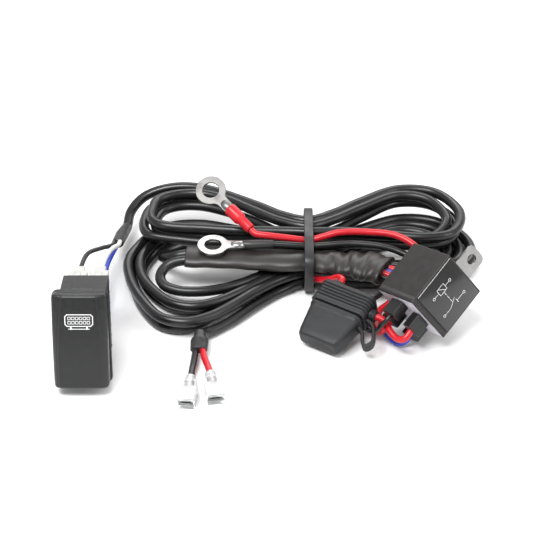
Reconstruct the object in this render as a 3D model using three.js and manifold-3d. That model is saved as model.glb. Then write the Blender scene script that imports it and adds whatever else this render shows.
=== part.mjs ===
// Relay wiring harness for auxiliary lamps, bundled with a cable tie.
// Millimetres, +Z up. The harness lies on z = 0 and the origin is the middle of the tie's
// underside. +X runs along the hank towards the relay, and -Y faces the front.
import * as THREE from 'three';
import { mergeVertices } from 'three/addons/utils/BufferGeometryUtils.js';
import Module from 'manifold-3d';

const wasm = await Module();
wasm.setup();

// ---- driving sizes -------------------------------------------------------------------
const gap = 0.3; // clearance between touching pieces
const bladeWidth = 6.3;
const bladeThick = 0.8;

const wire = { power: 1.7, signal: 1.15, lead: 1.6 }; // radii

const hank = { lowerTop: 11.6, upperTop: 24, waistGroove: 1.9 };
const tie = { width: 4.6, thick: 1.4, headDepth: 5.4, headWidth: 7.2, headHeight: 8 };
const sleeve = { halfWidth: 8.5, halfHeight: 4.2 };

const switchSize = {
  bezelWidth: 26, bezelHeight: 47, bezelThick: 2.6,
  bodyWidth: 21, bodyHeight: 36.8, bodyDepth: 24, wall: 1.6,
  rockerWidth: 25, rockerHeight: 45, rockerGap: 3.2, rockerThick: 6,
  hubWidth: 15, hubHeight: 11, pivotDepth: 6, pinRadius: 1.5, tilt: 7,
};
const relaySize = { side: 28, height: 29, base: 2.4, wall: 1.2, bladeReach: 6.5 };
const fuseSize = { width: 29, thick: 13, baseLength: 13, capLength: 19.5, taper: 0.78, wall: 1.6 };
const ring = { outer: 7.7, hole: 4.2, thick: 1.2, neck: 7, barrel: 3.1, barrelLength: 15 };
const spade = { width: 8.6, thick: 5.4, length: 19, neckRadius: 2.7, neckLength: 9 };

// ---- materials -----------------------------------------------------------------------
const finish = (color, roughness, metalness = 0) =>
  new THREE.MeshStandardMaterial({ color, roughness, metalness });
const blackPlastic = finish(0x1c1d1f, 0.5);
const blackPvc = finish(0x141416, 0.3);
const greySleeve = finish(0x4a4446, 0.5);
const redPvc = finish(0xc8222a, 0.35);
const bluePvc = finish(0x1d3fae, 0.35);
const whitePvc = finish(0xe2e2e0, 0.4);
const nylon = finish(0xd5d3cb, 0.5);
const clearPvc = finish(0xe9eceb, 0.2);
const tinned = finish(0xb3b3b0, 0.35, 0.9);
const brass = finish(0xb99a55, 0.35, 0.9);
const copper = finish(0xa9572b, 0.4, 0.8);
const rubber = finish(0x232426, 0.7);
const fusePlastic = finish(0x3f9a4c, 0.25);

// ---- shape helpers -------------------------------------------------------------------
function solidOf(geometry) {
  const bare = geometry.clone();
  bare.deleteAttribute('normal');
  bare.deleteAttribute('uv');
  const merged = mergeVertices(bare, 1e-4);
  return new wasm.Manifold(new wasm.Mesh({
    numProp: 3,
    vertProperties: new Float32Array(merged.attributes.position.array),
    triVerts: new Uint32Array(merged.index.array),
  }));
}

function geometryOf(solid) {
  const mesh = solid.getMesh();
  const geometry = new THREE.BufferGeometry();
  geometry.setAttribute('position', new THREE.BufferAttribute(new Float32Array(mesh.vertProperties), 3));
  geometry.setIndex(new THREE.BufferAttribute(new Uint32Array(mesh.triVerts), 1));
  geometry.computeVertexNormals();
  return geometry;
}

function cut(geometry, ...tools) {
  return geometryOf(tools.reduce((left, tool) => left.subtract(solidOf(tool)), solidOf(geometry)));
}

function join(geometry, ...others) {
  return geometryOf(others.reduce((left, other) => left.add(solidOf(other)), solidOf(geometry)));
}

// A box given by its lowest and highest corner.
function block([x0, y0, z0], [x1, y1, z1]) {
  const box = new THREE.BoxGeometry(x1 - x0, y1 - y0, z1 - z0);
  return box.translate((x0 + x1) / 2, (y0 + y1) / 2, (z0 + z1) / 2);
}

// A cylinder of one axis, centred on a point.
function rod(radius, length, axis, [x, y, z], sides = 20) {
  const cylinder = new THREE.CylinderGeometry(radius, radius, length, sides);
  if (axis === 'x') cylinder.rotateZ(Math.PI / 2);
  if (axis === 'z') cylinder.rotateX(Math.PI / 2);
  return cylinder.translate(x, y, z);
}

// A rectangle with round corners, centred on (0, 0).
function roundRect(width, height, radius) {
  const x = width / 2 - radius;
  const y = height / 2 - radius;
  const shape = new THREE.Shape();
  shape.absarc(x, y, radius, 0, Math.PI / 2);
  shape.absarc(-x, y, radius, Math.PI / 2, Math.PI);
  shape.absarc(-x, -y, radius, Math.PI, 1.5 * Math.PI);
  shape.absarc(x, -y, radius, 1.5 * Math.PI, 2 * Math.PI);
  shape.closePath();
  return shape;
}

function extrude(shape, depth, curveSegments = 4) {
  return new THREE.ExtrudeGeometry(shape, { depth, bevelEnabled: false, curveSegments });
}

// An oval section swept along points. Its first axis stays level.
function sweep(points, halfWidth, halfHeight, sides, steps) {
  const curve = new THREE.CatmullRomCurve3(points.map((p) => new THREE.Vector3(...p)), false, 'centripetal');
  const positions = [];
  const index = [];
  for (let i = 0; i <= steps; i += 1) {
    const centre = curve.getPointAt(i / steps);
    const along = curve.getTangentAt(i / steps);
    const side = new THREE.Vector3(0, 0, 1).cross(along).normalize();
    const up = along.clone().cross(side);
    for (let k = 0; k < sides; k += 1) {
      const angle = (2 * Math.PI * k) / sides;
      const p = centre.clone()
        .addScaledVector(side, halfWidth * Math.cos(angle))
        .addScaledVector(up, halfHeight * Math.sin(angle));
      positions.push(p.x, p.y, p.z);
    }
  }
  for (let i = 0; i < steps; i += 1) {
    for (let k = 0; k < sides; k += 1) {
      const a = i * sides + k;
      const b = i * sides + ((k + 1) % sides);
      index.push(a, b, a + sides, b, b + sides, a + sides);
    }
  }
  for (let k = 1; k < sides - 1; k += 1) {
    const last = steps * sides;
    index.push(0, k + 1, k, last, last + k, last + k + 1);
  }
  const geometry = new THREE.BufferGeometry();
  geometry.setAttribute('position', new THREE.Float32BufferAttribute(positions, 3));
  geometry.setIndex(index);
  geometry.computeVertexNormals();
  return geometry;
}

const tube = (points, radius, steps = 14) => sweep(points, radius, radius, 8, steps);

function add(parent, name, geometry, material) {
  const mesh = new THREE.Mesh(geometry, material);
  mesh.name = name;
  parent.add(mesh);
  return mesh;
}

// A group whose own X, Y and Z point along three given directions.
function placedGroup(origin, x, y, z) {
  const basis = new THREE.Matrix4().makeBasis(x, y, z).setPosition(new THREE.Vector3(...origin));
  const group = new THREE.Group();
  group.applyMatrix4(basis);
  return group;
}

const harness = new THREE.Group();

// ---- hank of jacketed cable ----------------------------------------------------------
// Outlines seen from above, narrow where the tie pulls the strands together.
const lowerOutline = [
  [3.5, -22], [20, -24], [40, -25.5], [68, -23], [84, -12], [86, 10], [72, 31], [50, 35], [24, 24],
  [3.5, 12.4], [-3.5, 12.4], [-25, 24], [-52, 34], [-76, 31], [-86, 18], [-90, 6], [-95, -8], [-88, -36],
  [-70, -61], [-60, -65], [-50, -62], [-38, -51], [-27, -39], [-14, -28], [-3.5, -22],
];
const upperOutline = [
  [3.5, -8.6], [14, -6.2], [28, -6], [45, -8], [70, -8], [80, 8], [81, 22], [70, 41], [50, 45], [26, 31],
  [3.5, 13], [-3.5, 13], [-26, 29], [-42, 40], [-58, 46.5], [-78, 45], [-88, 36], [-88, 8], [-76, -8],
  [-60, -5], [-40, -6.2], [-20, -7], [-3.5, -8.6],
];
function hankSolid(outline, bottom, top) {
  const shape = new THREE.Shape(outline.map(([x, y]) => new THREE.Vector2(x, y)));
  return extrude(shape, top - bottom).translate(0, 0, bottom);
}
const groove = block([-tie.width, -60, -1], [tie.width, 60, hank.waistGroove]);
add(harness, 'hank_lower', cut(hankSolid(lowerOutline, 0, hank.lowerTop), groove), blackPvc);
add(harness, 'hank_upper', hankSolid(upperOutline, hank.lowerTop + gap, hank.upperTop), blackPvc);

// ---- cable tie -----------------------------------------------------------------------
const tieBack = 14;
const tieInside = [
  [-29.2, 18], [-27.2, 21.6], [-16, 24.4], [-9.5, 25.4], [12, 25.7], [tieBack, 24], [tieBack, 2.6],
  [13, tie.thick], [-22, tie.thick], [-25.8, 4], [-28.9, 12.5],
]; // y and z, clockwise
function offsetOutline(points, distance) {
  return points.map(([y, z], i) => {
    const [py, pz] = points[(i + points.length - 1) % points.length];
    const [ny, nz] = points[(i + 1) % points.length];
    const before = new THREE.Vector2(y - py, z - pz).normalize();
    const after = new THREE.Vector2(ny - y, nz - z).normalize();
    const out = new THREE.Vector2(-before.y - after.y, before.x + after.x).normalize();
    const reach = distance / Math.sqrt((1 + before.dot(after)) / 2);
    return [y + out.x * reach, z + out.y * reach];
  });
}
const vector2s = (points) => points.map(([a, b]) => new THREE.Vector2(a, b));
const bandShape = new THREE.Shape(vector2s(offsetOutline(tieInside, tie.thick).reverse()));
bandShape.holes.push(new THREE.Path(vector2s(tieInside)));
// The shape's own x and y become y and z.
const standUp = new THREE.Matrix4().makeBasis(
  new THREE.Vector3(0, 1, 0), new THREE.Vector3(0, 0, 1), new THREE.Vector3(1, 0, 0),
);
const band = extrude(bandShape, tie.width).translate(0, 0, -tie.width / 2).applyMatrix4(standUp);
const headFront = tieBack + tie.thick / 2;
const headLow = 9;
const head = block(
  [-tie.headWidth / 2, headFront, headLow],
  [tie.headWidth / 2, headFront + tie.headDepth, headLow + tie.headHeight],
);
const tailTop = headLow + tie.headHeight + 3.5;
const tail = block([-tie.width / 2, headFront + 2.4, headLow], [tie.width / 2, headFront + 3.8, tailTop]);
add(harness, 'cable_tie', join(band, head, tail), blackPlastic);

// ---- junction sleeve over the splices ------------------------------------------------
const sleeveRoute = [
  [-61, -15.6, 16.2], [-45, -16.6, 16.2], [-29, -18.1, 16.2], [-12, -19.3, 16.2], [0, -19.9, 16.2],
  [17, -22.5, 16.5], [28, -25.2, 16.8], [37.5, -30, 17],
];
add(harness, 'junction_sleeve', sweep(sleeveRoute, sleeve.halfWidth, sleeve.halfHeight, 12, 18), greySleeve);

// ---- rocker switch -------------------------------------------------------------------
// Own frame: X to the right, Y towards the terminals, Z up the face. It rests on the bezel's
// lower edge and on the lower rear edge of its body.
const switchLean = THREE.MathUtils.degToRad(8);
const rockerSwitch = placedGroup(
  [-104.6, -97.5, 0.4],
  new THREE.Vector3(1, 0, 0),
  new THREE.Vector3(0, Math.cos(switchLean), -Math.sin(switchLean)),
  new THREE.Vector3(0, Math.sin(switchLean), Math.cos(switchLean)),
);
harness.add(rockerSwitch);

function facePlate(width, height, radius, thick, front) {
  return extrude(roundRect(width, height, radius), thick)
    .rotateX(Math.PI / 2)
    .translate(0, front + thick, switchSize.bezelHeight / 2);
}
function makeSwitch() {
  const s = switchSize;
  const mid = s.bezelHeight / 2;
  const halfBody = s.bodyHeight / 2;
  const innerX = s.bodyWidth / 2 - s.wall;
  const innerZ = halfBody - s.wall;
  const window = block([-innerX, -5, mid - innerZ], [innerX, s.bezelThick + 5, mid + innerZ]);
  const plate = facePlate(s.bezelWidth, s.bezelHeight, 3, s.bezelThick, 0);
  add(rockerSwitch, 'switch_bezel', cut(plate, window), blackPlastic);

  const front = s.bezelThick + gap;
  const back = front + s.bodyDepth;
  const pin = rod(s.pinRadius, s.bodyWidth - 1, 'x', [0, s.pivotDepth, mid]);
  const pinHole = rod(s.pinRadius + 0.3, s.bodyWidth + 4, 'x', [0, s.pivotDepth, mid]);
  const shell = block([-s.bodyWidth / 2, front, mid - halfBody], [s.bodyWidth / 2, back, mid + halfBody]);
  const cavity = block([-innerX, front - 1, mid - innerZ], [innerX, back - 2, mid + innerZ]);
  const clip = (side) => {
    const root = mid + side * halfBody;
    const wedge = new THREE.Shape(vector2s([[front + 3, 0], [front + 5, 2.2 * side], [front + 13, -1 * side], [front + 3, -1 * side]]));
    return extrude(wedge, 9).applyMatrix4(standUp).translate(-4.5, 0, root);
  };
  const terminals = [[-5, 12], [5, 12], [5, -12]];
  const slots = terminals.map(([x, z]) => block(
    [x - bladeWidth / 2 - gap, back - 4, mid + z - bladeThick / 2 - gap],
    [x + bladeWidth / 2 + gap, back + 4, mid + z + bladeThick / 2 + gap],
  ));
  add(rockerSwitch, 'switch_body', cut(join(shell, clip(1), clip(-1)), cavity, pinHole, ...slots), blackPlastic);
  add(rockerSwitch, 'rocker_pin', pin, tinned);

  // The rocker is made level and then turned about its pin to the off position.
  const faceBack = -s.rockerGap;
  const face = new THREE.Shape();
  const half = s.rockerHeight / 2;
  face.moveTo(faceBack, -half);
  face.lineTo(faceBack, half);
  face.lineTo(faceBack - s.rockerThick + 1.2, half);
  face.quadraticCurveTo(faceBack - s.rockerThick - 1.8, 0, faceBack - s.rockerThick + 1.2, -half);
  face.closePath();
  const facePiece = extrude(face, s.rockerWidth, 8).applyMatrix4(standUp).translate(-s.rockerWidth / 2, 0, 0);
  const hub = block(
    [-s.hubWidth / 2, faceBack - 1, -s.hubHeight / 2],
    [s.hubWidth / 2, s.pivotDepth + 4, s.hubHeight / 2],
  );
  const bore = rod(s.pinRadius + 0.3, s.rockerWidth + 4, 'x', [0, s.pivotDepth, 0]);
  const rockerFrame = new THREE.Matrix4().makeTranslation(0, s.pivotDepth, mid)
    .multiply(new THREE.Matrix4().makeRotationX(THREE.MathUtils.degToRad(-s.tilt)))
    .multiply(new THREE.Matrix4().makeTranslation(0, -s.pivotDepth, 0));
  add(rockerSwitch, 'rocker', cut(join(facePiece, hub), bore).applyMatrix4(rockerFrame), blackPlastic);
  const plungerStart = s.pivotDepth + 4 + gap;
  const plungerEnd = back - 7.5;
  const plunger = rod(1.6, plungerEnd - plungerStart, 'y', [0, (plungerStart + plungerEnd) / 2, 0], 12);
  add(rockerSwitch, 'rocker_plunger', plunger.applyMatrix4(rockerFrame), nylon);

  const leverFrame = new THREE.Matrix4().makeTranslation(0, back - 4.6, mid)
    .multiply(new THREE.Matrix4().makeRotationX(THREE.MathUtils.degToRad(s.tilt)));
  const lever = block([-3, -0.5, -10], [3, 0.5, 10]).applyMatrix4(leverFrame);
  add(rockerSwitch, 'contact_lever', lever, copper);

  const plugLength = 17;
  terminals.forEach(([x, z], i) => {
    const level = mid + z;
    const blade = block(
      [x - bladeWidth / 2, back - 1.9, level - bladeThick / 2],
      [x + bladeWidth / 2, back + 9, level + bladeThick / 2],
    );
    add(rockerSwitch, `switch_terminal_${i + 1}`, blade, brass);
    const housing = block([x - 4.4, back + 1, level - 3.6], [x + 4.4, back + 1 + plugLength * 0.62, level + 3.6]);
    const neck = block([x - 2.6, back, level - 2.6], [x + 2.6, back + 1 + plugLength, level + 2.6]);
    const mouth = block(
      [x - bladeWidth / 2 - gap, back - 1, level - bladeThick / 2 - gap],
      [x + bladeWidth / 2 + gap, back + 9 + gap, level + bladeThick / 2 + gap],
    );
    const clear = block([x - 6, back - 4, level - 6], [x + 6, back + 1, level + 6]);
    add(rockerSwitch, `switch_plug_${i + 1}`, cut(join(housing, neck), mouth, clear), nylon);
  });
  return { exits: terminals.map(([x, z]) => [x, back + 1 + plugLength, mid + z]) };
}
const switchEnds = makeSwitch();

// ---- relay ---------------------------------------------------------------------------
// Own frame: X and Y are the sides and Z runs from the blades to the bracket.
const relayX = new THREE.Vector3(0.585, 0.107, -0.804).normalize();
const relayZ = new THREE.Vector3(0.618, 0.58, 0.53);
relayZ.addScaledVector(relayX, -relayZ.dot(relayX)).normalize();
const relayY = relayZ.clone().cross(relayX);
const relay = placedGroup([46.4, -76.5, 30.6], relayX, relayY, relayZ);
harness.add(relay);

function makeRelay() {
  const r = relaySize;
  const middle = r.side / 2;
  const bladePlaces = [[middle, 5.5, true], [middle, 22.5, true], [5.5, middle, false], [22.5, middle, false]];
  const bladeBox = (place, grow, low, high) => {
    const [x, y, wide] = place;
    const halfX = (wide ? bladeWidth : bladeThick) / 2 + grow;
    const halfY = (wide ? bladeThick : bladeWidth) / 2 + grow;
    return block([x - halfX, y - halfY, low], [x + halfX, y + halfY, high]);
  };
  const shell = block([0, 0, r.base + gap], [r.side, r.side, r.height]);
  const hollow = block(
    [r.wall, r.wall, r.base - 1],
    [r.side - r.wall, r.side - r.wall, r.height - r.wall],
  );
  add(relay, 'relay_cover', cut(shell, hollow), blackPlastic);
  const plate = block([0.4, 0.4, 0], [r.side - 0.4, r.side - 0.4, r.base]);
  const plateSlots = bladePlaces.map((place) => bladeBox(place, gap, -1, r.base + 1));
  add(relay, 'relay_base', cut(plate, ...plateSlots), nylon);
  const bladeNames = ['30', '87', '85', '86'];
  bladePlaces.forEach((place, i) => {
    add(relay, `relay_blade_${bladeNames[i]}`, bladeBox(place, 0, -r.bladeReach, r.base + 1.2), brass);
    const [x, y, wide] = place;
    const halfX = wide ? 4.2 : 2.6;
    const halfY = wide ? 2.6 : 4.2;
    const boot = block([x - halfX, y - halfY, -r.bladeReach - 1.5], [x + halfX, y + halfY, -gap]);
    add(relay, `relay_boot_${bladeNames[i]}`, cut(boot, bladeBox(place, gap, -r.bladeReach - gap, 1)), blackPvc);
  });

  const coilX = 11;
  const coilLow = r.base + 3.6;
  const coilTop = coilLow + 14;
  const bobbin = rod(6.4, coilTop - coilLow, 'z', [coilX, middle, (coilLow + coilTop) / 2], 18);
  const coreHole = rod(2.3, 40, 'z', [coilX, middle, coilTop], 12);
  add(relay, 'relay_coil', cut(bobbin, coreHole), copper);
  const core = rod(2, coilTop - coilLow, 'z', [coilX, middle, (coilLow + coilTop) / 2 + 0.2], 12);
  add(relay, 'relay_core', core, tinned);
  const yokeFoot = block([4, middle - 5, r.base + 1.6], [21, middle + 5, r.base + 3]);
  const yokeLeg = block([19.6, middle - 5, r.base + 1.6], [21, middle + 5, coilTop + 0.2]);
  add(relay, 'relay_yoke', join(yokeFoot, yokeLeg), tinned);
  const armatureFrame = new THREE.Matrix4().makeTranslation(21, middle, coilTop + 0.7)
    .multiply(new THREE.Matrix4().makeRotationY(THREE.MathUtils.degToRad(4)));
  add(relay, 'relay_armature', block([-18, -5, 0], [0, 5, 1.2]).applyMatrix4(armatureFrame), tinned);

  const tab = extrude(roundRect(12, 15, 3), 1, 5).rotateX(Math.PI / 2).translate(19, middle - 4, r.height + 7.8);
  const tabHole = rod(2.7, 6, 'y', [19, middle - 4, r.height + 10], 16);
  add(relay, 'relay_bracket', cut(tab, tabHole), tinned);
  return bladePlaces.map(([x, y]) => [x, y, -r.bladeReach - 1.5]);
}
const relayEnds = makeRelay();

// ---- fuse holder ---------------------------------------------------------------------
// Own frame: X across, Y through its thickness, Z towards the cap's end.
const fuseZ = new THREE.Vector3(-0.518, -0.787, -0.33).normalize();
const fuseX = new THREE.Vector3(0.886, -0.464, 0);
fuseX.addScaledVector(fuseZ, -fuseX.dot(fuseZ)).normalize();
const fuseY = fuseZ.clone().cross(fuseX);
const fuseHolder = placedGroup([20.2, -48.6, 16.2], fuseX, fuseY, fuseZ);
harness.add(fuseHolder);

// A rounded block whose section shrinks from one end to the other.
function tapered(width, thick, radius, from, to, share) {
  const geometry = extrude(roundRect(width, thick, radius), to - from, 3).translate(0, 0, from);
  const position = geometry.attributes.position;
  for (let i = 0; i < position.count; i += 1) {
    const t = (position.getZ(i) - from) / (to - from);
    const scale = 1 + (share - 1) * t;
    position.setXY(i, position.getX(i) * scale, position.getY(i) * scale);
  }
  return geometry;
}
function makeFuseHolder() {
  const f = fuseSize;
  const capStart = f.baseLength + gap;
  const capEnd = capStart + f.capLength;
  const pocket = { x: 10.6, y: 3.4, low: 4 };
  const base = tapered(f.width, f.thick, 3, 0, f.baseLength, 1);
  const outletReach = 3;
  const sideOutlet = block([f.width / 2 - 1.5, -3, 4], [f.width / 2 + outletReach, 3, 10]);
  const backOutletX = -8.5;
  const backOutlet = block([backOutletX - 2.8, -2.8, -outletReach], [backOutletX + 2.8, 2.8, 1]);
  const fusePocket = block([-pocket.x, -pocket.y, pocket.low], [pocket.x, pocket.y, f.baseLength + 2]);
  add(fuseHolder, 'fuse_base', cut(join(base, sideOutlet, backOutlet), fusePocket), rubber);
  const capOutside = tapered(f.width - 1.6, f.thick - 1.2, 3, capStart, capEnd, f.taper);
  const capInside = tapered(
    f.width - 1.6 - 2 * f.wall, f.thick - 1.2 - 2 * f.wall, 2, capStart - 1, capEnd - f.wall - 1, f.taper,
  );
  add(fuseHolder, 'fuse_cap', cut(capOutside, capInside), rubber);
  const fuseLow = f.baseLength - 0.5;
  add(fuseHolder, 'fuse_body', block([-8, -2.2, fuseLow], [8, 2.2, fuseLow + 12]), fusePlastic);
  const bladeOf = (side) => block(
    [side * 5.2 - 2.5, -0.35, pocket.low + 3.4],
    [side * 5.2 + 2.5, 0.35, fuseLow - gap],
  );
  const link = block([-3, -0.35, fuseLow - gap - 0.8], [3, 0.35, fuseLow - gap]);
  add(fuseHolder, 'fuse_element', join(bladeOf(-1), bladeOf(1), link), tinned);
  [-1, 1].forEach((side, i) => {
    const x = side * 5.2;
    const outside = block([x - 3, -2.4, pocket.low + gap], [x + 3, 2.4, fuseLow - 1.5]);
    const slot = block([x - 4, -0.7, pocket.low + 3], [x + 4, 0.7, fuseLow + 1]);
    add(fuseHolder, `fuse_clip_${i + 1}`, cut(outside, slot), brass);
  });
  // The strap leaves the base, loops and returns to the cap's rim.
  const edge = f.width / 2 + 0.6;
  const strapRoute = [
    [edge + 0.6, 11.4], [edge + 4, 12.6], [edge + 7.2, 17], [edge + 9, 22],
    [edge + 7, 25], [edge + 4.4, 22.8], [edge + 2.4, 19.4], [edge + 0.4, 17.4],
  ];
  const strap = sweep(strapRoute.map(([x, z]) => [x, z, 0]), 0.8, 2.2, 8, 16).rotateX(Math.PI / 2);
  add(fuseHolder, 'cap_strap', strap, rubber);
  return { back: [backOutletX, 0, -outletReach - gap], side: [f.width / 2 + outletReach + gap, 0, 7] };
}
const fuseEnds = makeFuseHolder();

// ---- ring terminals ------------------------------------------------------------------
// Own frame: X from the ring towards the wire, Z across the flat tongue.
function makeRing(label, origin, along, up, sleeveMaterial, barrelRadius) {
  const x = new THREE.Vector3(...along).normalize();
  const z = new THREE.Vector3(...up);
  z.addScaledVector(x, -z.dot(x)).normalize();
  const group = placedGroup(origin, x, z.clone().cross(x), z);
  harness.add(group);
  const disc = rod(ring.outer, ring.thick, 'z', [0, 0, 0], 32);
  const neckEnd = ring.outer + ring.neck;
  const neck = block([ring.outer - 3, -2.8, -ring.thick / 2], [neckEnd, 2.8, ring.thick / 2]);
  const eye = rod(ring.hole, 6, 'z', [0, 0, 0], 28);
  add(group, `ring_terminal_${label}`, cut(join(disc, neck), eye), tinned);
  const barrelStart = neckEnd + gap;
  const barrel = rod(barrelRadius, ring.barrelLength, 'x', [barrelStart + ring.barrelLength / 2, 0, 0], 14);
  add(group, `ring_barrel_${label}`, barrel, sleeveMaterial);
  return new THREE.Vector3(barrelStart + ring.barrelLength + gap, 0, 0).applyMatrix4(group.matrix);
}
const redRingEnd = makeRing('red', [-49.1, 11.5, 38], [0.66, -0.62, -0.36], [0, -0.62, 0.78], redPvc, ring.barrel);
const blackRingEnd = makeRing('black', [-47.5, -15.4, 22.6], [0.99, 0.04, 0], [0, -0.1, 1], greySleeve, 2.4);

// ---- spade terminals on the lamp leads -----------------------------------------------
function makeSpade(label, origin, along, material) {
  const y = new THREE.Vector3(...along).normalize();
  const group = placedGroup(origin, new THREE.Vector3(0, 0, 1).cross(y).negate(), y, new THREE.Vector3(0, 0, 1));
  harness.add(group);
  const flat = block([-spade.width / 2, 0, -spade.thick / 2], [spade.width / 2, spade.length - spade.neckLength, spade.thick / 2]);
  const neck = rod(spade.neckRadius, spade.neckLength + 1, 'y', [0, spade.length - spade.neckLength / 2 - 0.5, 0], 14);
  const socket = block([-3.5, -1, -1.3], [3.5, spade.length - 4, 1.3]);
  add(group, `spade_sleeve_${label}`, cut(join(flat, neck), socket), material);
  const outside = block([-3.2, 1, -1], [3.2, spade.length - 4.4, 1]);
  const mouth = block([-bladeWidth / 2 + 0.35, -1, -0.45], [bladeWidth / 2 - 0.35, 8, 0.45]);
  add(group, `spade_terminal_${label}`, cut(outside, mouth), brass);
  return new THREE.Vector3(0, spade.length + gap, 0).applyMatrix4(group.matrix);
}
const blackSpadeEnd = makeSpade('black', [-57.2, -116.2, 2.8], [0.08, 1, 0], clearPvc);
const redSpadeEnd = makeSpade('red', [-43.6, -113, 2.8], [-0.16, 1, 0], clearPvc);

// ---- boots where jacketed cables end in single wires ----------------------------------
const lampBootRoute = [[-52.2, -67.4, 6.2], [-52.4, -72, 5.4], [-52.6, -78, 4.6]];
add(harness, 'lamp_boot', sweep(lampBootRoute, 4.6, 3.4, 10, 4), blackPvc);
const switchBootRoute = [[-93.6, 24, 8], [-95.6, 13, 10], [-96.6, 3, 12]];
add(harness, 'switch_boot', sweep(switchBootRoute, 3.4, 3.4, 10, 5), blackPvc);

// ---- single wires --------------------------------------------------------------------
const inGroup = (group, point) => new THREE.Vector3(...point).applyMatrix4(group.matrix).toArray();
const switchExit = switchEnds.exits.map((p) => inGroup(rockerSwitch, [p[0], p[1] + gap, p[2]]));
const relayExit = relayEnds.map((p) => inGroup(relay, [p[0], p[1], p[2] - gap]));
const fuseBackExit = inGroup(fuseHolder, fuseEnds.back);
const fuseSideExit = inGroup(fuseHolder, fuseEnds.side);

add(harness, 'lead_black', tube([blackSpadeEnd.toArray(), [-55.2, -90, 2.6], [-54.4, -82, 3.6], [-54.2, -78.4, 4.4]],
  wire.lead, 8), blackPvc);
add(harness, 'lead_red', tube([redSpadeEnd.toArray(), [-48, -88, 2.6], [-50, -82, 3.6], [-50.6, -78.6, 4.4]],
  wire.lead, 8), redPvc);
add(harness, 'feed_wire', tube([
  redRingEnd.toArray(), [-26.6, -9.7, 25.8], [-20, -10.7, 25.3], [-11, -10.7, 24], [0, -10.8, 22.8], [7, -10, 24.2],
  [15, -8.8, 25.9],
  [30.4, -8.6, 26], [43, -11, 25.6], [52.5, -17, 23], [57, -24, 18.4], [54.5, -29.6, 15.6], [48, -30, 16],
  [39.9, -27, 17],
], wire.power, 28), redPvc);
add(harness, 'ground_wire', tube([
  blackRingEnd.toArray(), [-9, -14.4, 22.2], [0, -14.4, 21.5], [10, -14, 22], [20.4, -13.6, 22.4], [34, -15, 22],
  [44, -17.4, 20.4], [50, -21, 18.4], [48.4, -25, 17], [41.6, -23.6, 17],
], wire.power, 24), blackPvc);

add(harness, 'switch_wire_black', tube([
  switchExit[0], [-109.6, -43, 28.5], [-108, -30, 27], [-103, -14, 20], [-98.9, -3, 14.6], [-98.1, 2.7, 13],
], wire.signal), blackPvc);
add(harness, 'switch_wire_white', tube([
  switchExit[1], [-99.6, -43, 28.5], [-98.6, -30, 26], [-97.2, -14, 20], [-95.6, -3, 14.8], [-95.2, 2.4, 13],
], wire.signal), whitePvc);
add(harness, 'switch_wire_blue', tube([
  switchExit[2], [-99.6, -45, 5.2], [-100.4, -30, 8.6], [-100.6, -14, 9.6], [-98.6, -4, 10.4], [-96.7, 2.2, 10.9],
], wire.signal), bluePvc);

add(harness, 'fuse_lead', tube([
  fuseBackExit, [15.9, -39.7, 18.3], [14.4, -36, 17.4], [9, -31, 12.6], [4.4, -26.4, 9.6], [1.4, -24.8, 9.4], [-1.6, -24.2, 9.4],
], wire.lead, 12), redPvc);
add(harness, 'relay_wire_30', tube([
  fuseSideExit, [34.1, -65.4, 13.2], [35.7, -68, 12.2], [37.8, -72.2, 10.6], [40.6, -76, 9.6], [43.8, -77.8, 10.9], relayExit[0],
], wire.power), redPvc);
add(harness, 'relay_wire_87', tube([
  relayExit[1], [35.4, -63.8, 6.8], [33.2, -63, 4.2], [32, -56, 3], [34, -46, 4.5], [39, -42, 6.4],
  [42.6, -38.8, 11], [42.2, -35.6, 15.5], [37, -32.7, 17],
], wire.power, 20), redPvc);
add(harness, 'relay_wire_85', tube([
  relayExit[2], [35.4, -70.9, 16.5], [33, -70.7, 13.3], [31.8, -66.8, 8], [28, -60, 3], [26.5, -50, 2.4],
  [29, -42, 5], [35.5, -40.6, 12], [39.2, -38.2, 16], [35.3, -35.7, 17],
], wire.signal, 22), blackPvc);
add(harness, 'relay_wire_86', tube([
  relayExit[3], [45.3, -69.2, 2.9], [42, -69.4, 1.8], [37.6, -64, 1.6], [36, -55, 1.6], [37.4, -47.4, 2],
  [41.6, -42.6, 2.6], [46.4, -39.6, 6], [47.6, -36, 11], [45.5, -33, 15.4], [38.5, -29.8, 17],
], wire.signal, 24), bluePvc);

export default harness;
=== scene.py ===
import math
import bmesh
import bpy
from mathutils import Matrix, Vector


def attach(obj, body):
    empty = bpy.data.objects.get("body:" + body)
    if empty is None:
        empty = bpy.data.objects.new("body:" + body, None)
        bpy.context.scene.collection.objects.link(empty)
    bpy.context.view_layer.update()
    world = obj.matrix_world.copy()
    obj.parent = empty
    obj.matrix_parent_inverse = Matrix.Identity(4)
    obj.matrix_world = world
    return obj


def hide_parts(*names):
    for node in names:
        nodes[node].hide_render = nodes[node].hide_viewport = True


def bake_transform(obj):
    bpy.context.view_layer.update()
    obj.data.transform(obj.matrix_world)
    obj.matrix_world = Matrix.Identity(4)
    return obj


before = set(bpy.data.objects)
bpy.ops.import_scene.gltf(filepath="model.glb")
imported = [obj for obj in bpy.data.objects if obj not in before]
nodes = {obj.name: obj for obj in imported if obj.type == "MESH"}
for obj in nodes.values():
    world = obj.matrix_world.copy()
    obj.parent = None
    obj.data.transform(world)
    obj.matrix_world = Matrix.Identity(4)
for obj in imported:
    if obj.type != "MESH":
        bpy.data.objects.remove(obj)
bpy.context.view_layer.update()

print("frame loaded:", len(nodes), "CAD nodes")

mm = 0.001
# camera
view = dict(aim=(-16.8, -2.57, -3.81), distance=850, elevation=34, lens=109.1, sensor=36)


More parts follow.
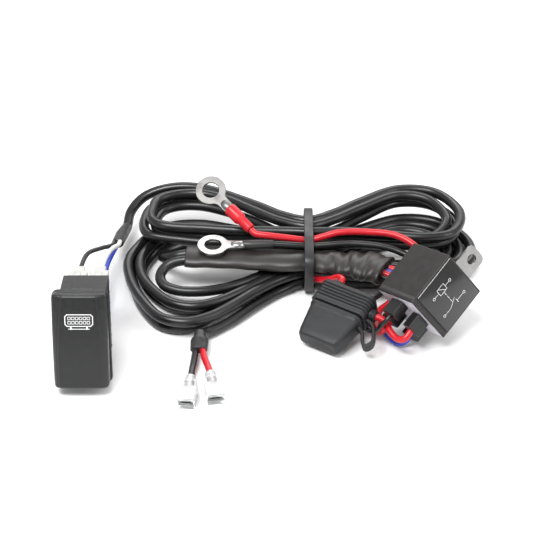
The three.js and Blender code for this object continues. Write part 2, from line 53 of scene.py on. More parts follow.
def setCamera():
    aim = Vector(view["aim"]) * mm
    up = math.radians(view["elevation"])
    data = bpy.data.cameras.new("camera")
    data.lens = view["lens"]
    data.sensor_width = view["sensor"]
    camera = bpy.data.objects.new("camera", data)
    bpy.context.scene.collection.objects.link(camera)
    camera.location = aim + Vector((0, -math.cos(up), math.sin(up))) * view["distance"] * mm
    camera.rotation_euler = (aim - camera.location).to_track_quat("-Z", "Y").to_euler()
    bpy.context.scene.camera = camera


setCamera()


# small geometry helpers
def frameAt(origin, x=None, z=None, keepX=True):
    # a matrix from a piece's own millimetres to the harness in metres
    xDir, zDir = Vector(x).normalized(), Vector(z).normalized()
    if keepX:
        zDir = (zDir - xDir * zDir.dot(xDir)).normalized()
    else:
        xDir = (xDir - zDir * xDir.dot(zDir)).normalized()
    yDir = zDir.cross(xDir)
    turn = Matrix((xDir, yDir, zDir)).transposed().to_4x4()
    return Matrix.Scale(mm, 4) @ Matrix.Translation(origin) @ turn


wholeFrame = Matrix.Scale(mm, 4)


def smoothPoints(points, spacing=2.0, closed=False):
    # a centripetal Catmull-Rom line through the points, sampled about every spacing
    pts = [Vector(p) for p in points]
    count = len(pts)
    if closed:
        pts = [pts[-1]] + pts + [pts[0], pts[1]]
    else:
        pts = [pts[0] * 2 - pts[1]] + pts + [pts[-1] * 2 - pts[-2]]
    out = []
    for i in range(count if closed else count - 1):
        p0, p1, p2, p3 = pts[i:i + 4]
        t1 = max((p1 - p0).length, 1e-6) ** 0.5
        t2 = t1 + max((p2 - p1).length, 1e-6) ** 0.5
        t3 = t2 + max((p3 - p2).length, 1e-6) ** 0.5
        steps = max(2, round((p2 - p1).length / spacing))
        for s in range(steps):
            t = t1 + (t2 - t1) * s / steps
            a1 = p0 * ((t1 - t) / t1) + p1 * (t / t1)
            a2 = p1 * ((t2 - t) / (t2 - t1)) + p2 * ((t - t1) / (t2 - t1))
            a3 = p2 * ((t3 - t) / (t3 - t2)) + p3 * ((t - t2) / (t3 - t2))
            b1 = a1 * ((t2 - t) / t2) + a2 * (t / t2)
            b2 = a2 * ((t3 - t) / (t3 - t1)) + a3 * ((t - t1) / (t3 - t1))
            out.append(b1 * ((t2 - t) / (t2 - t1)) + b2 * ((t - t1) / (t2 - t1)))
    if not closed:
        out.append(pts[-2].copy())
    return out


def ramp(value, start, end):
    t = min(1, max(0, (value - start) / (end - start)))
    return t * t * (3 - 2 * t)


def newPiece(name, mesh, material, body="harness"):
    piece = bpy.data.objects.new(name, mesh)
    bpy.context.scene.collection.objects.link(piece)
    mesh.materials.clear()
    mesh.materials.append(material)
    if body:
        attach(piece, body)
    return piece


def meshOf(name, points, faces, matrix=wholeFrame, smooth=True):
    mesh = bpy.data.meshes.new(name)
    mesh.from_pydata([matrix @ Vector(p) for p in points], [], faces)
    work = bmesh.new()
    work.from_mesh(mesh)
    bmesh.ops.recalc_face_normals(work, faces=work.faces)
    work.to_mesh(mesh)
    work.free()
    if smooth:
        mesh.shade_smooth()
    return mesh


def loft(sections, closedLoop=False):
    # joins rings of equal point counts and closes the two ends with a fan to their middle
    size = len(sections[0])
    points = [p for ring in sections for p in ring]
    faces = []
    last = len(sections) if closedLoop else len(sections) - 1
    for i in range(last):
        a, b = i * size, ((i + 1) % len(sections)) * size
        for k in range(size):
            n = (k + 1) % size
            faces.append((a + k, a + n, b + n, b + k))
    if not closedLoop:
        for ring, start in ((sections[0], 0), (sections[-1], (len(sections) - 1) * size)):
            middle = sum((Vector(p) for p in ring), Vector()) / size
            points.append(middle)
            faces += [(start + k, start + (k + 1) % size, len(points) - 1) for k in range(size)]
    return points, faces


def lathe(profile, sides=40, flat=lambda x: 1.0):
    # turns (x, radius) pairs about the X axis; flat presses the section at x
    rings = []
    for x, r in profile:
        ring = []
        for k in range(sides):
            a = 2 * math.pi * k / sides
            ring.append((x, r * math.cos(a) / flat(x) ** 0.5, r * math.sin(a) * flat(x)))
        rings.append(ring)
    return loft(rings)


def sweepRings(path, section, up=Vector((0, 0, 1)), closed=False):
    # section(i, share) gives (side, up) pairs; its first axis stays level
    rings = []
    count = len(path)
    for i, p in enumerate(path):
        a = path[i - 1] if (closed or i > 0) else path[i]
        b = path[(i + 1) % count] if (closed or i < count - 1) else path[i]
        along = (b - a).normalized()
        side = up.cross(along).normalized()
        over = along.cross(side)
        rings.append([p + side * s + over * t for s, t in section(i, i / (count - 1))])
    return rings


def roundedSection(halfWidth, halfHeight, radius, perCorner=5):
    out = []
    for cx, cy, start in ((1, 1, 0), (-1, 1, 90), (-1, -1, 180), (1, -1, 270)):
        for k in range(perCorner):
            a = math.radians(start + 90 * k / (perCorner - 1))
            out.append((cx * (halfWidth - radius) + radius * math.cos(a),
                        cy * (halfHeight - radius) + radius * math.sin(a)))
    return out


def ovalSection(halfWidth, halfHeight, sides=24):
    return [(halfWidth * math.cos(2 * math.pi * k / sides), halfHeight * math.sin(2 * math.pi * k / sides))
            for k in range(sides)]


def softened(name, node, material, width, body, segments=3, angle=30):
    # a CAD node's own shape with its edges rounded
    mesh = nodes[node].data.copy()
    mesh.name = name
    work = bmesh.new()
    work.from_mesh(mesh)
    bmesh.ops.remove_doubles(work, verts=work.verts, dist=1e-6)
    bmesh.ops.dissolve_limit(work, angle_limit=math.radians(2), verts=work.verts, edges=work.edges)
    work.to_mesh(mesh)
    work.free()
    if "custom_normal" in mesh.attributes:
        mesh.attributes.remove(mesh.attributes["custom_normal"])
    piece = bpy.data.objects.new(name, mesh)
    bpy.context.scene.collection.objects.link(piece)
    mesh.materials.clear()
    mesh.materials.append(material)
    bevel = piece.modifiers.new("edges", "BEVEL")
    bevel.width = width * mm
    bevel.segments = segments
    bevel.limit_method = "ANGLE"
    bevel.angle_limit = math.radians(angle)
    bevel.use_clamp_overlap = True
    bevel.harden_normals = True
    mesh.shade_smooth()
    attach(piece, body)
    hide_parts(node)
    return piece


def repeated(name, unit, material, counts, steps, body="harness"):
    # copies of a small mesh in rows, made by a node tree and turned into a plain mesh
    tree = bpy.data.node_groups.new(name + "Rows", "GeometryNodeTree")
    tree.interface.new_socket("Geometry", in_out="INPUT", socket_type="NodeSocketGeometry")
    ids = []
    for label, kind in (("Count", "NodeSocketInt"), ("Step", "NodeSocketVector"),
                        ("Row count", "NodeSocketInt"), ("Row step", "NodeSocketVector"),
                        ("Finish", "NodeSocketMaterial")):
        ids.append(tree.interface.new_socket(label, in_out="INPUT", socket_type=kind).identifier)
    tree.interface.new_socket("Geometry", in_out="OUTPUT", socket_type="NodeSocketGeometry")
    add, link = tree.nodes.new, tree.links.new
    source, result = add("NodeGroupInput"), add("NodeGroupOutput")
    rows = []
    for countName, stepName in (("Count", "Step"), ("Row count", "Row step")):
        line = add("GeometryNodeMeshLine")
        line.mode = "OFFSET"
        link(source.outputs[countName], line.inputs["Count"])
        link(source.outputs[stepName], line.inputs["Offset"])
        spread = add("GeometryNodeInstanceOnPoints")
        link(line.outputs["Mesh"], spread.inputs["Points"])
        link(rows[-1].outputs["Instances"] if rows else source.outputs["Geometry"],
             spread.inputs["Instance"])
        rows.append(spread)
    realize, finish = add("GeometryNodeRealizeInstances"), add("GeometryNodeSetMaterial")
    link(rows[-1].outputs["Instances"], realize.inputs["Geometry"])
    link(realize.outputs["Geometry"], finish.inputs["Geometry"])
    link(source.outputs["Finish"], finish.inputs["Material"])
    link(finish.outputs["Geometry"], result.inputs["Geometry"])
    holder = bpy.data.objects.new(name + "Unit", unit)
    bpy.context.scene.collection.objects.link(holder)
    modifier = holder.modifiers.new("rows", "NODES")
    modifier.node_group = tree
    values = [counts[0], Vector(steps[0]), counts[1], Vector(steps[1]), material]
    for key, value in zip(ids, values):
        modifier[key] = value
    bpy.context.view_layer.update()
    plain = bpy.data.meshes.new_from_object(holder.evaluated_get(bpy.context.evaluated_depsgraph_get()))
    bpy.data.objects.remove(holder)
    plain.name = name
    plain.shade_smooth()
    return newPiece(name, plain, material, body)


# finishes
def makeSurface(name, colour, roughness, metallic=0.0, grain=0.15, grainSize=0.6, tint=0.1,
                sheenOff=0.08, coat=0.0, clear=0.0, specular=0.5, streak=None):
    # noise in the object's own millimetres varies colour and roughness and gives a fine bump
    material = bpy.data.materials.new(name)
    material.use_nodes = True
    tree = material.node_tree
    add, link = tree.nodes.new, tree.links.new
    shader = tree.nodes["Principled BSDF"]
    shader.inputs["Metallic"].default_value = metallic
    shader.inputs["Coat Weight"].default_value = coat
    shader.inputs["Coat Roughness"].default_value = 0.12
    shader.inputs["Transmission Weight"].default_value = clear
    shader.inputs["Specular IOR Level"].default_value = specular
    place, scale = add("ShaderNodeTexCoord"), add("ShaderNodeMapping")
    size = streak or (1, 1, 1)
    scale.inputs["Scale"].default_value = [1 / (mm * s) for s in size]
    link(place.outputs["Object"], scale.inputs["Vector"])

    def noiseAt(size, detail):
        noise = add("ShaderNodeTexNoise")
        noise.inputs["Scale"].default_value = 1 / size
        noise.inputs["Detail"].default_value = detail
        link(scale.outputs["Vector"], noise.inputs["Vector"])
        return noise.outputs["Fac"]

    broad, fine = noiseAt(grainSize * 14, 3), noiseAt(grainSize, 4)
    shade = add("ShaderNodeValToRGB")
    low = [c * (1 - tint) for c in colour[:3]] + [1]
    high = [min(1, c * (1 + tint) + 0.002) for c in colour[:3]] + [1]
    shade.color_ramp.elements[0].color, shade.color_ramp.elements[0].position = low, 0.35
    shade.color_ramp.elements[1].color, shade.color_ramp.elements[1].position = high, 0.65
    link(broad, shade.inputs["Fac"])
    link(shade.outputs["Color"], shader.inputs["Base Color"])
    rough = add("ShaderNodeMapRange")
    rough.inputs["From Min"].default_value, rough.inputs["From Max"].default_value = 0.3, 0.7
    rough.inputs["To Min"].default_value = max(0.02, roughness - sheenOff)
    rough.inputs["To Max"].default_value = roughness + sheenOff
    link(broad, rough.inputs["Value"])
    link(rough.outputs["Result"], shader.inputs["Roughness"])
    bump = add("ShaderNodeBump")
    bump.inputs["Strength"].default_value = grain
    bump.inputs["Distance"].default_value = 0.05 * mm
    link(fine, bump.inputs["Height"])
    link(bump.outputs["Normal"], shader.inputs["Normal"])
    return material


blackJacket = makeSurface("blackJacket", (0.006, 0.006, 0.0065), 0.36, grain=0.12, grainSize=1.2, coat=0.05)
redJacket = makeSurface("redJacket", (0.56, 0.006, 0.016), 0.36, grain=0.1, grainSize=1.2, coat=0.05)
blueJacket = makeSurface("blueJacket", (0.02, 0.05, 0.42), 0.32, grain=0.1, grainSize=1.2)
whiteJacket = makeSurface("whiteJacket", (0.72, 0.72, 0.7), 0.35, grain=0.1, grainSize=1.2)
tiePlastic = makeSurface("tiePlastic", (0.016, 0.016, 0.018), 0.4, grain=0.25, grainSize=0.4)
sleeveShrink = makeSurface("sleeveShrink", (0.022, 0.018, 0.018), 0.42, grain=0.35, grainSize=1.6, tint=0.2)
shrinkGrey = makeSurface("shrinkGrey", (0.02, 0.019, 0.02), 0.42, grain=0.3, grainSize=1.0, tint=0.15)
switchPlastic = makeSurface("switchPlastic", (0.009, 0.0093, 0.010), 0.44, grain=0.35, grainSize=0.22,
                            tint=0.12)
rockerPlastic = makeSurface("rockerPlastic", (0.008, 0.0083, 0.009), 0.4, grain=0.3, grainSize=0.2,
                            tint=0.1)
nylonPlastic = makeSurface("nylonPlastic", (0.5, 0.5, 0.48), 0.4, grain=0.15, grainSize=0.8, tint=0.06)
relayMatte = makeSurface("relayMatte", (0.014, 0.012, 0.0115), 0.5, grain=0.5, grainSize=0.25, tint=0.15)
relayGloss = makeSurface("relayGloss", (0.010, 0.0095, 0.0095), 0.14, grain=0.04, grainSize=1.0, coat=0.4)
# the relay base's pale lavender is a painted reflection of the white floor, which a glossy side shows at a
# grazing angle
paleBaseFloorReflection = makeSurface("paleBaseFloorReflection", (0.64, 0.62, 0.68), 0.4, grain=0.15, grainSize=0.6, tint=0.05)
holderRubber = makeSurface("holderRubber", (0.012, 0.0125, 0.014), 0.55, grain=0.5, grainSize=0.3,
                           tint=0.15)
tinnedMetal = makeSurface("tinnedMetal", (0.22, 0.215, 0.21), 0.4, metallic=1.0, grain=0.35, grainSize=0.5,
                          tint=0.15, sheenOff=0.12)
brightMetal = makeSurface("brightMetal", (0.36, 0.355, 0.35), 0.3, metallic=1.0, grain=0.25, grainSize=0.4,
                          tint=0.1, sheenOff=0.1)
brassMetal = makeSurface("brassMetal", (0.62, 0.46, 0.2), 0.3, metallic=1.0, grain=0.2, grainSize=0.4,
                         tint=0.12)
copperMetal = makeSurface("copperMetal", (0.6, 0.27, 0.12), 0.34, metallic=1.0, grain=0.3,
                          grainSize=0.3, tint=0.15)
clearVinyl = makeSurface("clearVinyl", (0.93, 0.94, 0.95), 0.14, grain=0.1, grainSize=1.5, tint=0.01,
                         sheenOff=0.04, clear=0.8)
fuseGreen = makeSurface("fuseGreen", (0.03, 0.36, 0.09), 0.25, grain=0.05, grainSize=1.0, clear=0.3)
# white print on the rocker and relay, also used for the relay panel's painted edge highlight
whitePrintAndHighlight = makeSurface("whitePrintAndHighlight", (0.8, 0.8, 0.8), 0.5, grain=0.1, grainSize=0.3, tint=0.03)
floorPaper = makeSurface("floorPaper", (0.9, 0.9, 0.9), 0.8, grain=0.02, grainSize=4, tint=0.005,
                         specular=0.1)
print("finishes made")


# stage
light = dict(sky=0.62, key=7, fill=2, rim=3.5)


def setStage():
    half = 4.0  # m, half the floor's side
    floor = bpy.data.objects.new("floor",
                                 meshOf("floor", [(-half, -half, 0), (half, -half, 0), (half, half, 0),
                                 (-half, half, 0)], [(0, 1, 2, 3)], Matrix.Translation((0, 0, -0.0004)),
                                 False))
    bpy.context.scene.collection.objects.link(floor)
    floor.data.materials.append(floorPaper)
    world = bpy.data.worlds.new("studio")
    world.use_nodes = True
    world.node_tree.nodes["Background"].inputs["Color"].default_value = (1, 1, 1, 1)
    world.node_tree.nodes["Background"].inputs["Strength"].default_value = light["sky"]
    bpy.context.scene.world = world
    bpy.context.scene.view_settings.view_transform = "Standard"
    for name, spot, size, power in (
            ("key", (-0.25, -0.35, 0.75), (0.5, 0.25), light["key"]),
            ("rim", (0.1, 0.6, 0.55), (0.9, 0.2), light["rim"]),
            ("fill", (0.6, -0.3, 0.5), (0.3, 0.5), light["fill"])):
        data = bpy.data.lights.new(name, "AREA")
        data.shape = "RECTANGLE"
        data.size, data.size_y = size
        data.energy = power
        lamp = bpy.data.objects.new(name, data)
        bpy.context.scene.collection.objects.link(lamp)
        lamp.location = spot
        lamp.rotation_euler = (Vector((-0.01, -0.02, 0.01)) - lamp.location).to_track_quat("-Z",
                "Y").to_euler()


setStage()
print("stage set")


# cords
def cordCurve(name, path, radius, material, body="harness"):
    data = bpy.data.curves.new(name, "CURVE")
    data.dimensions = "3D"
    data.bevel_depth = radius * mm
    data.bevel_resolution = 4
    data.use_fill_caps = True
    line = data.splines.new("POLY")
    line.points.add(len(path) - 1)
    for point, p in zip(line.points, path):
        point.co = (p[0] * mm, p[1] * mm, p[2] * mm, 1)
    line.use_smooth = True
    piece = bpy.data.objects.new(name, data)
    bpy.context.scene.collection.objects.link(piece)
    data.materials.append(material)
    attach(piece, body)
    return piece


# The jacketed cable lies in four layers. Each turn is a waisted loop given by an outer and an
# inner line, clockwise from the left end, and a turn's share says how far in it lies.
cable = dict(diameter=5.2, turnsLow=3, turnsHigh=2, waistHalf=15)
lowOuter = [(-92, -8), (-88, 6), (-82, 19), (-74, 28), (-57, 31), (-40, 27.5), (-25, 21.5), (-12, 14),
            (0, 9.7),
            (13, 13), (27, 21.5), (48, 31.5), (68, 28.5), (82, 10), (80.5, -9), (66, -19.8), (40, -22.4),
            (20, -21.2), (0, -19.3), (-13, -24), (-26, -35), (-38, -47.5), (-49, -57), (-60, -61),
            (-71, -57),
            (-82, -42), (-89, -25)]
lowInner = [(-74, -7), (-71.5, 3), (-67.5, 10), (-61, 14), (-52, 15.5), (-39, 12), (-27, 6.5),
            (-13, -1), (0, -7.1),
            (13, -3.6), (27, 5), (44, 14), (56, 12.5), (65, 5), (63.5, -2), (55, -6), (38, -6.2),
            (20, -4.6), (0, -2.5), (-12.5, -6.5), (-22, -15), (-31, -23.5), (-42, -30), (-53, -33),
            (-61, -31),
            (-67, -25.5), (-72, -17)]
highOuter = [(-85.5, 12), (-86, 23), (-84, 33), (-75, 41), (-57, 43), (-41, 36), (-27, 26.5), (-13, 16),
             (0, 10.2),
             (13, 17.5), (27, 28.5), (48, 41.5), (66, 38), (78, 18), (72, -1), (58, -5.2), (40, -5.4),
             (20, -4.4), (0, -6), (-12, -5.2), (-22, -4.6), (-33, -4), (-45, -3), (-56, -2), (-66, -0.6),
             (-75, 1.6), (-82, 5)]
highInner = [(-74, 15), (-74, 22), (-71.5, 28), (-65, 31), (-55, 31.5), (-41, 25), (-28, 15.5),
             (-14, 5), (0, -0.6),
             (13, 6.5), (27, 17), (46, 29.5), (58, 26.5), (66.5, 15), (61, 7.5), (54, 6.4), (40, 6),
             (20, 7.2), (0, 4.8), (-12, 6.2), (-22, 6.8), (-33, 7.4), (-45, 8.4), (-54, 9), (-62, 9.6),
             (-68, 10.6), (-72, 12)]
turnKeys = len(lowOuter)
backWaist, frontWaist = 8, 18  # keys where the strands pass under the tie
levels = [2.72, 8.5, 14.7, 20.4]  # mm, the strands' heights layer by layer
waistLevels = [4.3, 9.25, 15.0, 20.9]  # the same under the tie


def lanePoint(key, lane, level):
    # lane counts turns inwards from the outermost; level is a layer number, whole or between two
    key %= turnKeys
    low, high = int(min(math.floor(level), 2)), int(min(math.floor(level) + 1, 3))
    spots = []
    for layer in (low, high):
        outer, inner = (lowOuter, lowInner) if layer < 2 else (highOuter, highInner)
        turns = cable["turnsLow"] if layer < 2 else cable["turnsHigh"]
        drift = 0.5 * math.sin(1.7 * key + 2.1 * layer) if key not in (backWaist, frontWaist) else 0
        waist = 1 - ramp(abs(outer[key][0]), 4, cable["waistHalf"])
        shifted = lane + (0.42 * (1 - waist) if layer in (0, 2) else 0)  # strands lie over the gaps below
        bulge = ramp(key, 19, 21) * (1 - ramp(key, 24, 26)) if layer < 2 else 0
        shifted += bulge * ((0.4 * ramp(lane, 0, 1) - 0.25 * ramp(lane, 1,
                2)) - (0.3 if layer == 0 and lane < 0.5 else 0))
        flat = Vector(outer[key]).lerp(Vector(inner[key]), shifted / turns)
        z = levels[layer] + (waistLevels[layer] - levels[layer]) * waist
        spots.append(Vector((flat.x + drift * (1 - waist), flat.y + 0.6 * drift * (1 - waist), z)))
    return spots[0].lerp(spots[1], level - low)


def lampCableRoute():
    # leaves the sleeve to the left, drops inside the left loop and winds outwards on the lowest layer
    start = [(-61, -13.6, 16.2), (-65.5, -13.8, 15.4), (-70, -11.6, 12.8), (-72.8, -7, 9.6),
             (-73.2, -1, 6.8),
             (-70.5, 6, 4.6), (-64, 12, 3.1)]
    route = list(start)
    lanes = cable["turnsLow"]
    for turn in range(3):
        for key in range(4 if turn == 0 else 0, turnKeys if turn < 2 else frontWaist + 1):
            lane = lanes - 1 - turn
            if turn == 0:
                lane += 1 - ramp(key, 4, backWaist)
            lane -= ramp(key, 20, 24) if turn < 2 else 0
            route.append(lanePoint(key, lane, 0))
    route += [(-13, -25.5, 2.72), (-25.5, -37.5, 2.72), (-37, -51, 2.72), (-45.5, -59, 2.72),
              (-50.6, -63.4, 3.6),
              (-52.2, -67, 5.9)]
    return route


def switchCableRoute():
    # leaves the sleeve beside it, winds outwards on the second layer and then fills the upper two
    route = [(-61, -19.2, 16.2), (-65.5, -19.4, 15.6), (-70.5, -21, 13.8), (-73.4, -25.5, 11.4),
             (-71.6, -31, 9.6),
             (-65, -34.6, 8.7), (-55, -35.4, 8.5), (-45, -33.6, 8.5), (-34, -28.6, 8.5)]
    for way in range(-2, 148):  # keys passed since the first front waist
        lane = 2 - ramp(way, 13, 20) - ramp(way, 40, 47) + ramp(way, 87, 90.5) - ramp(way, 135.2, 138.5)
        level = 1 + ramp(way, 64.5, 68.5) + ramp(way, 111.5, 114.5)
        route.append(lanePoint(frontWaist - way, lane, level))
    route += [(-57, 43.4, 20.4), (-73.5, 45.4, 18.8), (-85.5, 42.4, 15.4), (-92, 35, 11.2),
              (-93.5, 24.8, 8.1)]
    return route


def addCable(name, route, hides):
    path = smoothPoints(route, 2.2)
    piece = cordCurve(name, path, cable["diameter"] / 2, blackJacket)
    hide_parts(*hides)
    return piece


addCable("lampCable", lampCableRoute(), ["hank_lower"])
addCable("switchCable", switchCableRoute(), ["hank_upper"])

# single wires, on the same routes as their CAD tubes
switchFrame = frameAt((-104.6, -97.5, 0.4), x=(1, 0, 0),
                      z=(0, math.sin(math.radians(8)), math.cos(math.radians(8))))
relayFrame = frameAt((46.4, -76.5, 30.6), x=(0.585, 0.107, -0.804), z=(0.618, 0.58, 0.53))
fuseFrame = frameAt((20.2, -48.6, 16.2), x=(0.886, -0.464, 0), z=(-0.518, -0.787, -0.33), keepX=False)
redRingFrame = frameAt((-49.1, 11.5, 38), x=(0.66, -0.62, -0.36), z=(0, -0.62, 0.78))
blackRingFrame = frameAt((-47.5, -15.4, 22.6), x=(0.99, 0.04, 0), z=(0, -0.1, 1))


def spot(matrix, *local):
    return matrix @ Vector(local) / mm


plugBack = 44.9  # mm behind the bezel where the wires leave the plugs
switchExits = [spot(switchFrame, x, plugBack, z) for x, z in ((-5, 35.5), (5, 35.5), (5, 11.5))]
bootBack = -7.5  # mm under the relay where the wires leave the boots
relayExits = [spot(relayFrame, x, y, bootBack) for x, y in ((14, 5.5), (14, 22.5), (5.5, 14), (22.5, 14))]
fuseBack, fuseSide = spot(fuseFrame, -8.5, 0, -2), spot(fuseFrame, 17, 0, 7)
ringWire = 30.3  # mm from a ring's middle to the end of its barrel
wireRadius = dict(power=1.7, signal=1.15, lead=1.6)  # mm
wires = {
    "feedWire": ("feed_wire", "power", redJacket, "wire_red", [
        spot(redRingFrame, ringWire, 0, 0), (-26.6, -9.7, 25.8), (-20, -10.7, 25.3), (-11, -10.7, 24),
        (0, -10.8, 22.8),
        (7, -10, 24.2), (15, -8.8, 25.9), (30.4, -8.6, 26), (43, -11, 25.6), (52.5, -17, 23),
        (57, -24, 18.4),
        (54.5, -29.6, 15.6), (48, -30, 16), (39, -27.4, 17)]),
    "groundWire": ("ground_wire", "power", blackJacket, "wire_black", [
        spot(blackRingFrame, ringWire, 0, 0), (-9, -14.4, 22.2), (0, -14.4, 21.5), (10, -14, 22),
        (20.4, -13.6, 22.4),
        (34, -15, 22), (44, -17.4, 20.4), (50, -21, 18.4), (48.4, -25, 17), (40.4, -24.4, 17)]),
    "switchWireBlack": ("switch_wire_black", "signal", blackJacket, "wire_black", [
        switchExits[0], (-109.6, -43, 28.5), (-108, -30, 27), (-103, -14, 20), (-98.9, -3, 14.6),
        (-97.8, 4, 12.6)]),
    "switchWireWhite": ("switch_wire_white", "signal", whiteJacket, "wire_white", [
        switchExits[1], (-99.6, -43, 28.5), (-98.6, -30, 26), (-97.2, -14, 20), (-95.6, -3, 14.8),
        (-95.4, 4, 12.6)]),
    "switchWireBlue": ("switch_wire_blue", "signal", blueJacket, "wire_blue", [
        switchExits[2], (-99.6, -45, 5.2), (-100.4, -30, 8.6), (-100.6, -14, 9.6), (-98.6, -4, 10.4),
        (-96.6, 4, 10.8)]),
    "fuseLead": ("fuse_lead", "lead", redJacket, "wire_red", [
        fuseBack, (15.9, -39.7, 18.3), (14.4, -36, 17.4), (9, -31, 12.6), (4.4, -26.4, 9.8),
        (1.4, -24.9, 9.8),
        (-1.6, -24.2, 11)]),
    "relayWire87": ("relay_wire_87", "power", redJacket, "wire_red", [
        relayExits[1], (35.4, -63.8, 6.8), (33.2, -63, 4.2), (32, -56, 3), (34, -46, 4.5), (39, -42, 6.4),
        (42.6, -38.8, 11), (42.2, -35.6, 15.5), (36, -31.6, 17)]),
    "relayWire85": ("relay_wire_85", "signal", blackJacket, "wire_black", [
        relayExits[2], (35.4, -70.9, 16.5), (33, -70.7, 13.3), (31.8, -66.8, 8), (28, -60, 3),
        (26.5, -50, 2.4),
        (29, -42, 5), (35.5, -40.6, 12), (39.2, -38.2, 16), (34.4, -34.2, 17)]),
    "relayWire86": ("relay_wire_86", "signal", blueJacket, "wire_blue", [
        relayExits[3], (45.3, -69.2, 2.9), (42, -69.4, 1.8), (37.6, -64, 1.6), (36, -55, 1.6),
        (37.4, -47.4, 2),
        (41.6, -42.6, 2.6), (46.4, -39.6, 6), (47.6, -36, 11), (45.5, -33, 15.4), (37.6, -29.4, 17)]),
}
wirePieces = {}
for name, (node, size, material, slot, points) in wires.items():
    path = smoothPoints(points, 1.2)
    piece = cordCurve(name, path, wireRadius[size], material)
    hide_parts(node)
    wirePieces[name] = piece
shortWires = {
    "relayWire30": ("relay_wire_30", "power", redJacket, "wire_red", [
        fuseSide, (34.1, -65.4, 13.2), (35.7, -68, 12.2), (37.8, -72.2, 10.6), (40.6, -76, 9.6),
        (43.8, -77.8, 10.9),
        relayExits[0]]),
    "leadBlack": ("lead_black", "lead", blackJacket, "wire_black", [
        (-55.68, -97, 2.8), (-55.2, -90, 2.6), (-54.4, -82, 3.6), (-54, -76, 4.7)]),
    "leadRed": ("lead_red", "lead", redJacket, "wire_red", [
        (-46.65, -93.9, 2.8), (-48, -88, 2.6), (-50, -82, 3.6), (-50.8, -76, 4.7)]),
}
for name, (node, size, material, slot, points) in shortWires.items():
    piece = cordCurve(name, smoothPoints(points, 1.2), wireRadius[size], material)
    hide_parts(node)
print("cords and wires laid")


# cable tie
tie = dict(width=4.6, thick=1.4, headDepth=5.4, headWidth=7.2, headHeight=8, toothPitch=0.95)


def makeTie():
    loop = [(-29.2, 18), (-27.2, 21.6), (-16, 24.4), (-9.5, 25.4), (12, 25.7), (14, 24), (14, 2.6),
            (13, 1.4), (-22, 1.4), (-25.8, 4), (-28.9, 12.5)]
    middle = Vector((-7, 13))
    outward = []
    for y, z in loop:
        away = (Vector((y, z)) - middle).normalized()
        outward.append((0, y + away.x * tie["thick"] / 2, z + away.y * tie["thick"] / 2))
    path = smoothPoints(outward, 1.5, closed=True)
    section = roundedSection(tie["thick"] / 2, tie["width"] / 2, 0.45, 4)
    rings = sweepRings(path, lambda i, share: section, up=Vector((1, 0, 0)), closed=True)
    points, faces = loft(rings, closedLoop=True)
    return newPiece("tieBand", meshOf("tieBand", points, faces), tiePlastic)


tieBand = makeTie()
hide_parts("cable_tie")


def boxMesh(name, low, high, radius, matrix=wholeFrame, segments=3):
    work = bmesh.new()
    size = Vector(high) - Vector(low)
    bmesh.ops.create_cube(work, size=1, matrix=Matrix.Translation((Vector(high) + Vector(low)) / 2)
                          @ Matrix.Diagonal(size.to_4d()))
    bmesh.ops.bevel(work, geom=list(work.edges), offset=radius, segments=segments, affect="EDGES",
                    profile=0.5)
    bmesh.ops.transform(work, matrix=matrix, verts=work.verts)
    mesh = bpy.data.meshes.new(name)
    work.to_mesh(mesh)
    work.free()
    mesh.shade_smooth()
    return mesh


def makeTieHead():
    front, low = 14 + tie["thick"] / 2, 9
    newPiece("tieHead", boxMesh("tieHead", (-tie["headWidth"] / 2, front, low), (tie["headWidth"] / 2,
             front + tie["headDepth"], low + tie["headHeight"]), 0.8), tiePlastic)
    newPiece("tieTail", boxMesh("tieTail", (-tie["width"] / 2, front + 2.4, low - 1.4),
             (tie["width"] / 2, front + 3.8, low + tie["headHeight"] + 3.5), 0.4), tiePlastic)
    newPiece("tiePawl", boxMesh("tiePawl", (-1.6, front + 1.1, low + 7.6),
                                (1.6, front + 2.3, low + 8.9), 0.3),
             tiePlastic)
    tooth = boxMesh("tieTooth", (-1.5, 14.35, 3.2), (1.5, 15.75, 3.7), 0.12, segments=1)
    repeated("tieTeeth", tooth, tiePlastic, (6, 1), ((0, 0, tie["toothPitch"] * mm), (0, 0, 0)))


makeTieHead()

# junction sleeve and boots
sleeve = dict(halfWidth=8.5, halfHeight=4.2, sides=48)


